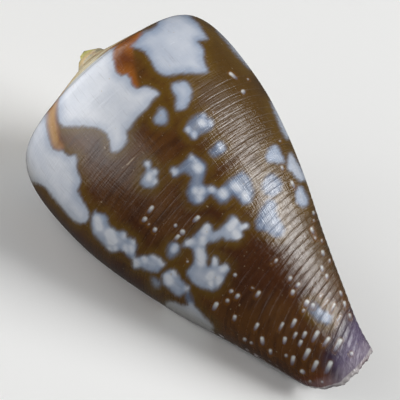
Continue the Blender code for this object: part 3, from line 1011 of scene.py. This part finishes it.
class Graph:
    """Shader nodes of one material, made by short calls."""

    def __init__(self, name):
        self.material = bpy.data.materials.new(name)
        self.material.use_nodes = True
        self.tree = self.material.node_tree
        self.tree.nodes.clear()

    def node(self, kind, inputs=(), **settings):
        node = self.tree.nodes.new(kind)
        for name, value in settings.items():
            setattr(node, name, value)
        for name, value in dict(inputs).items():
            self.feed(node.inputs[name], value)
        return node

    def feed(self, socket, value):
        if isinstance(value, bpy.types.NodeSocket):
            self.tree.links.new(value, socket)
        else:
            socket.default_value = value

    def value(self, name):
        """Number that the mesh stores under this name."""
        return self.node("ShaderNodeAttribute", attribute_name=name).outputs["Fac"]

    def parts(self, name):
        """Three parts of a vector that the mesh stores under this name."""
        vector = self.node("ShaderNodeAttribute", attribute_name=name).outputs["Vector"]
        return self.node("ShaderNodeSeparateXYZ", {0: vector}).outputs

    def math(self, operation, first, second=0.0, clamp=False):
        inputs = {0: first, 1: second}
        return self.node("ShaderNodeMath", inputs, operation=operation, use_clamp=clamp).outputs[0]

    def add(self, first, second):
        return self.math("ADD", first, second)

    def times(self, first, second):
        return self.math("MULTIPLY", first, second)

    def swing(self, noise, reach):
        """Noise moved from the middle of its range to 0, times its reach."""
        return self.times(self.add(noise, -0.5), reach)

    def fade(self, value, start, stop, low=0.0, high=1.0):
        inputs = {"Value": value, "From Min": start, "From Max": stop, "To Min": low, "To Max": high}
        return self.node("ShaderNodeMapRange", inputs, interpolation_type="SMOOTHSTEP").outputs[0]

    def noise(self, vector, scale, detail=2.0, roughness=0.5):
        inputs = {"Vector": vector, "Scale": scale, "Detail": detail, "Roughness": roughness}
        return self.node("ShaderNodeTexNoise", inputs).outputs[0]

    def coil_noise(self, age, turn_cells, thread, thread_cells, detail=2.0, roughness=0.5):
        """Noise on the coil, with this many cells to a turn and to a millimetre of thread."""
        place = {0: self.times(age, turn_cells), 1: self.times(thread, thread_cells), 2: 0.0}
        vector = self.node("ShaderNodeCombineXYZ", place).outputs[0]
        return self.noise(vector, 1.0, detail, roughness)

    def mix(self, share, first, second):
        """Mix of two colours. Each is a socket, or display values from 0 to 255."""
        first, second = (colour(*value) if isinstance(value, tuple) else value for value in (first, second))
        return self.node("ShaderNodeMix", {0: share, 6: first, 7: second}, data_type="RGBA").outputs[2]

    def layers(self, base, *layers):
        """Colours laid over a base one after another. Each layer is its share and its colour."""
        for share, over in layers:
            base = self.mix(share, base, over)
        return base

    def bump(self, height, distance, normal=None):
        inputs = {"Height": height, "Distance": distance, "Strength": 1.0}
        if normal is not None:
            inputs["Normal"] = normal
        return self.node("ShaderNodeBump", inputs).outputs[0]


def spot_cover(g, name, softness):
    """Place along the nearest spot, its cover, which is narrower towards the tail, and the depth in it."""
    along, _, depth = g.parts(name)
    narrowed = g.add(depth, g.fade(along, 0.0, 1.2, 0.0, -0.8))
    return along, g.fade(narrowed, -0.6 * softness, 2.3 * softness), depth


def groove_lines(g, age, thread):
    """Narrow spiral grooves: 1 in a groove. They waver, and come and go along the spiral."""
    wander = g.coil_noise(age, 9.0, thread, 0.35)
    phase = g.add(g.times(thread, 1 / CORD_PITCH), g.times(wander, 0.5))
    away = g.math("ABSOLUTE", g.add(g.math("FRACT", phase), -0.5))
    presence = g.coil_noise(age, 16.0, g.math("FLOOR", phase), 0.73)
    return g.times(g.fade(away, 0.15, 0.02), g.fade(presence, 0.32, 0.55))


def shell_material():
    """Glossy shell: brown ground, milky patches and spots, pale edges, over fine threads and growth lines."""
    g = Graph("shell_wall")
    age, thread, white, milk = (g.value(name) for name in ("age", "thread", "white", "milk"))
    orange, pale, violet, near_end = (g.value(name) for name in ("orange", "pale", "violet", "near_end"))
    spiral = g.coil_noise(age, 60.0, thread, 2.4, 3.0, 0.6)
    broad_spiral = g.coil_noise(age, 12.0, thread, 1.1)
    growth = g.coil_noise(age, 420.0, thread, 0.25, 3.0, 0.6)
    place = g.node("ShaderNodeTexCoord").outputs["Object"]
    broad = g.noise(place, 110.0, 2.0)
    cloud = g.noise(place, 320.0, 3.0)
    fine = g.noise(place, 1300.0, 2.0)

    # Brown ground, olive or orange beside the patches.
    depth = g.add(g.add(white, g.swing(spiral, 0.55)), g.swing(cloud, 0.35))
    ochre = g.mix(g.fade(age, 0.42, 0.5), (94, 68, 22), (78, 56, 20))
    halo_colour = g.mix(orange, (108, 80, 24), (178, 108, 44))
    tongue_edge = g.mix(pale, (166, 98, 30), (240, 194, 124))
    tongue = g.mix(g.fade(g.add(cloud, g.times(depth, -0.25)), 0.35, 0.95), tongue_edge, (112, 56, 18))
    ground = g.layers(
        g.mix(g.fade(broad, 0.38, 0.62), (76, 39, 12), (98, 60, 20)),
        (g.fade(broad_spiral, 0.45, 0.7, 0.0, 0.5), (54, 26, 11)),
        (g.times(g.value("ochre"), 0.85), ochre),
        (g.fade(spiral, 0.5, 0.75, 0.0, 0.15), (112, 78, 44)),
        (g.times(g.fade(depth, -1.5, -0.1), g.fade(cloud, 0.3, 0.6, 0.55, 0.95)), halo_colour),
        (g.times(orange, g.fade(cloud, 0.25, 0.6, 0.6, 0.95)), tongue),
    )

    # Siphonal end: reddish, then violet.
    border = g.add(g.swing(spiral, 7.0), g.swing(cloud, 9.0))
    paler = g.fade(g.add(violet, g.times(cloud, 6.0)), 8.0, 22.0)
    ground = g.layers(
        ground,
        (g.times(near_end, 0.6), (124, 66, 44)),
        (g.times(g.fade(g.add(violet, border), -7.0, 8.0), 0.92), g.mix(paler, (54, 38, 62), (98, 86, 118))),
    )

    # Milky patches: thin and bluish at their edges, thick and white inside.
    soft_edge = g.add(g.fade(milk, 0.2, 1.0, 0.42, 0.26), g.times(pale, 0.7))
    cover_white = g.fade(depth, g.times(soft_edge, -1.0), soft_edge)
    thick = g.add(g.fade(depth, 0.05, 1.3, 0.0, 0.32), g.times(milk, 0.6))
    thick = g.math("ADD", thick, g.swing(cloud, 0.5), clamp=True)
    milky = g.layers(
        g.mix(thick, (102, 130, 168), (230, 234, 242)),
        (g.fade(age, 0.11, 0.02, 0.0, 0.7), (204, 200, 188)),
        (g.fade(age, 0.9, 2.4, 0.0, 0.85), (236, 224, 186)),
    )

    # Single spots, bright at the head and bluish at the tail, and thin light lines.
    along, cover, spot_depth = spot_cover(g, "spot", 0.75)
    spot_halo = g.times(g.fade(spot_depth, -2.4, 0.0), g.fade(cloud, 0.35, 0.65, 0.1, 0.55))
    spot_colour = g.mix(g.fade(along, -0.9, 0.9), (236, 238, 234), (126, 134, 164))
    _, thin_line_cover, _ = spot_cover(g, "thin_light_line", 0.4)

    # Growth lines, spiral grooves with painted shade in them, and specks of painted glints. Thick white is
    # smooth.
    grooves = g.times(groove_lines(g, age, thread), g.fade(g.times(cover_white, milk), 0.1, 0.8, 1.0, 0.12))
    coarse = g.fade(g.add(age, g.fade(thread, 36.0, 50.0, 0.0, 0.08)), 0.28, 0.36, 0.5, 1.0)
    grooves = g.times(grooves, g.times(g.times(coarse, coarse), g.fade(violet, -4.0, 8.0, 1.0, 0.35)))
    grooves = g.times(grooves, g.fade(thread, 12.0, 25.0, 0.2, 1.0))
    painted_glints = g.noise(place, 2600.0, 1.0)
    surface = g.layers(
        ground,
        (g.times(cover_white, g.fade(milk, 0.0, 0.6, 0.72, 1.0)), milky),
        (spot_halo, (122, 78, 20)),
        (g.times(cover, g.fade(along, 1.1, -0.6, 0.25, 0.97)), spot_colour),
        (g.times(thin_line_cover, g.fade(fine, 0.35, 0.6, 0.2, 0.8)), (200, 180, 150)),
        (g.fade(growth, 0.56, 0.78, 0.0, 0.25), (44, 26, 14)),
        # Painted shade: the grooves are darkened in the colour.
        (g.times(grooves, 0.15), (40, 26, 18)),
        # Painted glints: small light specks laid into the colour.
        (g.fade(painted_glints, 0.74, 0.8, 0.0, 0.5), (190, 170, 140)),
    )

    # Spire, edges and inside.
    cream = g.mix(g.fade(cloud, 0.4, 0.65), (236, 220, 176), (222, 186, 116))
    rim_colour = g.mix(g.fade(cloud, 0.35, 0.6), (150, 136, 142), (224, 218, 218))
    pale_end = g.times(g.fade(near_end, 0.72, 1.0), g.fade(cloud, 0.25, 0.6, 0.15, 0.5))
    surface = g.layers(
        surface,
        (g.times(g.value("ramp"), g.fade(age, 0.97, 2.4, 0.12, 0.88)), cream),
        (g.times(g.value("seam"), 0.8), (214, 200, 160)),
        (g.times(g.value("apex"), 0.9), (234, 226, 128)),
        (g.times(pale_end, g.fade(violet, -16.0, 6.0, 0.5, 1.0)), (172, 160, 172)),
        (g.fade(g.add(g.value("rim"), g.swing(cloud, 1.3)), 0.3, 0.9, 0.0, 0.9), rim_colour),
        (g.value("inside"), (206, 206, 216)),
    )

    # Threads and growth lines, too fine for the mesh.
    threads = g.coil_noise(age, 26.0, thread, 3.2, 2.0, 0.6)
    coarse = g.math("MAXIMUM", g.times(coarse, g.fade(thread, 11.0, 24.0, 0.5, 1.0)), 0.5)
    normal = g.bump(g.times(threads, coarse), 0.00007)
    lines = g.coil_noise(age, 400.0, thread, 0.5, 2.0, 0.6)
    normal = g.bump(g.times(lines, coarse), 0.00007, normal)
    normal = g.bump(grooves, -0.00004, normal)
    shader = g.node("ShaderNodeBsdfPrincipled", {
        "Base Color": surface,
        "Roughness": g.add(g.fade(fine, 0.3, 0.7, 0.17, 0.27), g.times(grooves, 0.3)),
        "IOR": 1.68,
        "Normal": normal,
        "Coat Weight": 0.3,
        "Coat Roughness": 0.1,
    })
    g.node("ShaderNodeOutputMaterial", {"Surface": shader.outputs[0]})
    return g.material


# Studio

def add_floor():
    mesh = bpy.data.meshes.new("floor")
    working = bmesh.new()
    bmesh.ops.create_circle(working, cap_ends=True, segments=64, radius=FLOOR_RADIUS)
    working.to_mesh(mesh)
    working.free()
    floor = add_object("floor", mesh)
    g = Graph("floor_paint")
    shader = g.node("ShaderNodeBsdfPrincipled", {"Base Color": (0.9, 0.9, 0.89, 1.0), "Roughness": 0.9})
    g.node("ShaderNodeOutputMaterial", {"Surface": shader.outputs[0]})
    mesh.materials.append(g.material)
    floor.visible_glossy = False
    floor.visible_diffuse = False


def add_light(name, toward, across, sides, power):
    """Soft box that faces the shell from this direction, with its long side along the second one."""
    toward = toward / np.linalg.norm(toward)
    across = across - toward * (across @ toward)
    across = across / np.linalg.norm(across)
    data = bpy.data.lights.new(name, "AREA")
    data.shape = "RECTANGLE"
    data.size, data.size_y = sides
    data.energy = power
    light = add_object(name, data)
    light.matrix_world = placing([across, np.cross(toward, across), toward], toward * LIGHT_DISTANCE)
    return light


def add_studio():
    world = bpy.data.worlds.new("studio")
    world.use_nodes = True
    background = world.node_tree.nodes["Background"]
    background.inputs["Color"].default_value = (1.0, 1.0, 1.0, 1.0)
    background.inputs["Strength"].default_value = WORLD_STRENGTH
    bpy.context.scene.world = world
    bpy.context.scene.view_settings.view_transform = "Standard"
    for boxes in (SOFT_BOXES, FILL_BOXES):
        for name, direction, sides, power in boxes:
            toward = direction[0] * RIGHT + direction[1] * UP + direction[2] * TOWARD
            light = add_light(name, toward, AXIS, sides, power)
            light.visible_glossy = boxes is SOFT_BOXES


surface = shell_surface()
x, r, age, kind = (surface.column(name) for name in ("x", "r", "age", "kind"))
base = place(x, r, age)
shift = stand_on_floor(base, kind == OUTSIDE)
base = base + shift
camera_at = camera_place(shift)
add_camera(camera_at)
mesh = mesh_from(surface, base * MM)
height = relief_height(base, thread_at(x, r, age), age) * surface.column("relief")
points = base + vertex_normals(mesh) * height[:, None]
points[:, 2] -= points[:, 2].min()
mesh.vertices.foreach_set("co", (points * MM).ravel())
mesh.update()
mark(mesh, x, r, age, kind, base, shift, camera_at)
shell = add_object("shell_surface", mesh)
mesh.materials.append(shell_material())
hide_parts("shell")
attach(shell, "root")
add_floor()
add_studio()
